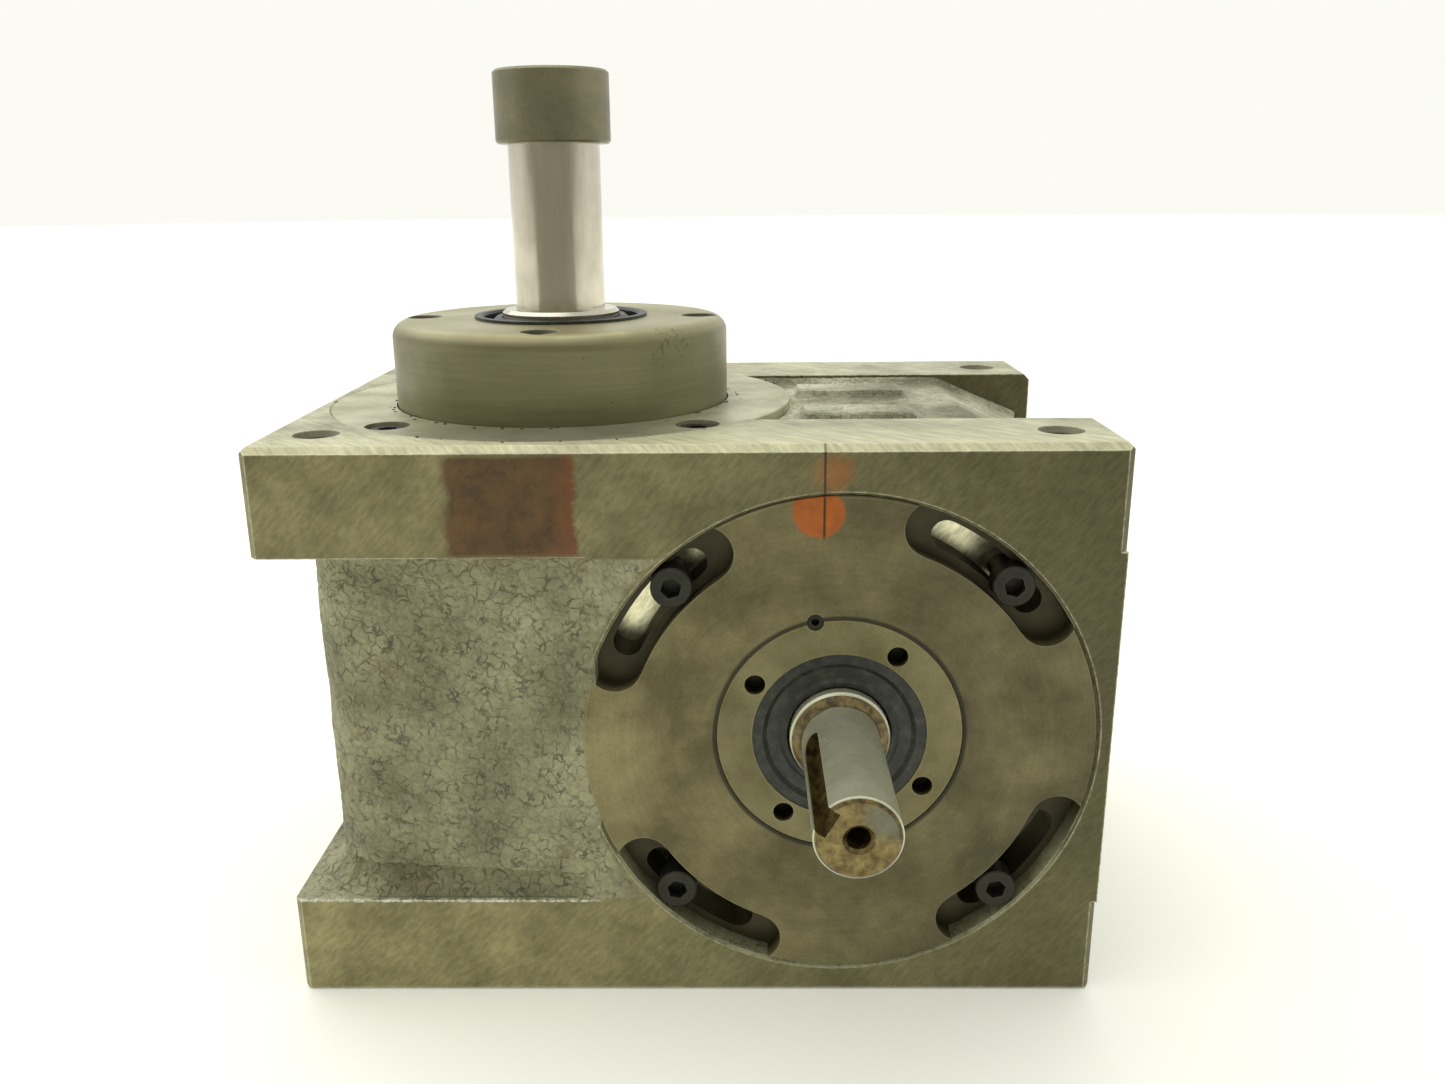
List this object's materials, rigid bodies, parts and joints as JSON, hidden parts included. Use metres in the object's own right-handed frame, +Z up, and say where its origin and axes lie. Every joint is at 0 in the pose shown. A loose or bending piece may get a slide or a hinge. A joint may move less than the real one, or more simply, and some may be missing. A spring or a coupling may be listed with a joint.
{
  "type": "rotary table",
  "caption": "Right-angle rotary table: a keyed input shaft turns a flat-topped output hub around a fixed centre post, in a cast box housing with a notched top.",
  "frame": {"origin": "on the output hub's axis, in the plane of the base", "axes": "+Z up along the output hub's axis, +X towards the input shaft's side, -Y out of the input shaft's free end"},
  "size_m": [0.27, 0.244, 0.303],
  "materials": {
    "cast_housing": "machined and rough cast iron, oily and stained",
    "ground_disc": "ground steel with light stains",
    "tarnished_flange": "tarnished turned steel with rusty pocket edges",
    "tarnished_nut": "tarnished turned steel",
    "black_oxide_screw": "worn black oxide",
    "black_rubber": "moulded nitrile rubber",
    "bearing_steel": "ground bearing steel",
    "brass_cage": "machined brass",
    "machined_cover": "machined steel",
    "polished_post": "polished steel with fine turning marks",
    "black_oxide_collar": "black oxide with a few scratches",
    "ground_shaft": "ground steel",
    "hardened_cam": "hardened and ground alloy steel",
    "turned_hub": "turned steel, tarnished khaki"
  },
  "bodies": {
    "housing_body": {"housing": "cast_housing", "retainer_disc": "ground_disc", "retainer_screws": "black_oxide_screw", "hub_dust_seal": "black_rubber", "front_flange": "tarnished_flange", "rear_flange": "tarnished_flange", "flange_screws": "black_oxide_screw", "flange_o_rings": "black_rubber", "front_bearing_nut": "tarnished_nut", "rear_bearing_nut": "tarnished_nut", "nut_lock_screws": "black_oxide_screw", "input_shaft_seal": "black_rubber", "rear_end_cap": "black_oxide_screw", "front_bearing_outer_ring": "bearing_steel", "rear_bearing_outer_ring": "bearing_steel", "main_bearing_outer_ring": "bearing_steel", "lower_bearing_outer_ring": "bearing_steel", "bottom_cover": "machined_cover", "cover_screws": "black_oxide_screw", "cover_o_ring": "black_rubber", "centre_post": "polished_post", "post_screws": "black_oxide_screw", "post_collar": "black_oxide_collar", "oil_fill_plug": "black_oxide_screw", "oil_drain_plug": "black_oxide_screw", "oil_sight_glass": "brass_cage"},
    "input_shaft_assembly": {"input_shaft": "ground_shaft", "globoidal_cam": "hardened_cam", "cam_key": "hardened_cam", "front_bearing_inner_ring": "bearing_steel", "rear_bearing_inner_ring": "bearing_steel"},
    "front_roller_set": {"front_bearing_cage": "brass_cage", "front_bearing_rollers": "bearing_steel"},
    "rear_roller_set": {"rear_bearing_cage": "brass_cage", "rear_bearing_rollers": "bearing_steel"},
    "output_hub_assembly": {"output_hub": "turned_hub", "follower_studs": "hardened_cam", "post_seal": "black_rubber", "hub_lock_nut": "tarnished_nut", "main_bearing_inner_ring": "bearing_steel", "lower_bearing_inner_ring": "bearing_steel"},
    "main_ball_set": {"main_bearing_cage": "brass_cage", "main_bearing_balls": "bearing_steel"},
    "lower_ball_set": {"lower_bearing_cage": "brass_cage", "lower_bearing_balls": "bearing_steel"},
    "cam_follower_1_body": {"cam_follower_1": "bearing_steel"},
    "cam_follower_2_body": {"cam_follower_2": "bearing_steel"},
    "cam_follower_3_body": {"cam_follower_3": "bearing_steel"},
    "cam_follower_4_body": {"cam_follower_4": "bearing_steel"},
    "cam_follower_5_body": {"cam_follower_5": "bearing_steel"},
    "cam_follower_6_body": {"cam_follower_6": "bearing_steel"},
    "cam_follower_7_body": {"cam_follower_7": "bearing_steel"},
    "cam_follower_8_body": {"cam_follower_8": "bearing_steel"}
  },
  "joints": [
    {"name": "input_spin", "type": "hinge", "parent": "housing_body", "child": "input_shaft_assembly", "pos_m": [0.096, 0, 0.095], "axis": [0, 1, 0], "continuous": true},
    {"name": "output_spin", "type": "hinge", "parent": "housing_body", "child": "output_hub_assembly", "pos_m": [0, 0, 0.1], "axis": [0, 0, 1], "continuous": true},
    {"name": "front_rollers_spin", "type": "hinge", "parent": "housing_body", "child": "front_roller_set", "pos_m": [0.096, -0.0665, 0.095], "axis": [0, 1, 0], "continuous": true},
    {"name": "rear_rollers_spin", "type": "hinge", "parent": "housing_body", "child": "rear_roller_set", "pos_m": [0.096, 0.0665, 0.095], "axis": [0, 1, 0], "continuous": true},
    {"name": "main_balls_spin", "type": "hinge", "parent": "housing_body", "child": "main_ball_set", "pos_m": [0, 0, 0.1625], "axis": [0, 0, 1], "continuous": true},
    {"name": "lower_balls_spin", "type": "hinge", "parent": "housing_body", "child": "lower_ball_set", "pos_m": [0, 0, 0.041], "axis": [0, 0, 1], "continuous": true},
    {"name": "follower_1_spin", "type": "hinge", "parent": "output_hub_assembly", "child": "cam_follower_1_body", "pos_m": [0.05012, 0.02076, 0.095], "axis": [0.9239, 0.3827, 0], "continuous": true},
    {"name": "follower_2_spin", "type": "hinge", "parent": "output_hub_assembly", "child": "cam_follower_2_body", "pos_m": [0.02076, 0.05012, 0.095], "axis": [0.3827, 0.9239, 0], "continuous": true},
    {"name": "follower_3_spin", "type": "hinge", "parent": "output_hub_assembly", "child": "cam_follower_3_body", "pos_m": [-0.02076, 0.05012, 0.095], "axis": [-0.3827, 0.9239, 0], "continuous": true},
    {"name": "follower_4_spin", "type": "hinge", "parent": "output_hub_assembly", "child": "cam_follower_4_body", "pos_m": [-0.05012, 0.02076, 0.095], "axis": [-0.9239, 0.3827, 0], "continuous": true},
    {"name": "follower_5_spin", "type": "hinge", "parent": "output_hub_assembly", "child": "cam_follower_5_body", "pos_m": [-0.05012, -0.02076, 0.095], "axis": [-0.9239, -0.3827, 0], "continuous": true},
    {"name": "follower_6_spin", "type": "hinge", "parent": "output_hub_assembly", "child": "cam_follower_6_body", "pos_m": [-0.02076, -0.05012, 0.095], "axis": [-0.3827, -0.9239, 0], "continuous": true},
    {"name": "follower_7_spin", "type": "hinge", "parent": "output_hub_assembly", "child": "cam_follower_7_body", "pos_m": [0.02076, -0.05012, 0.095], "axis": [0.3827, -0.9239, 0], "continuous": true},
    {"name": "follower_8_spin", "type": "hinge", "parent": "output_hub_assembly", "child": "cam_follower_8_body", "pos_m": [0.05012, -0.02076, 0.095], "axis": [0.9239, -0.3827, 0], "continuous": true}
  ],
  "couplings": [
    {"joint": "output_spin", "follows": "input_spin", "ratio": 0.125},
    {"joint": "front_rollers_spin", "follows": "input_spin", "ratio": 0.45111},
    {"joint": "rear_rollers_spin", "follows": "input_spin", "ratio": 0.45111},
    {"joint": "main_balls_spin", "follows": "input_spin", "ratio": 0.057203},
    {"joint": "lower_balls_spin", "follows": "input_spin", "ratio": 0.056111}
  ]
}
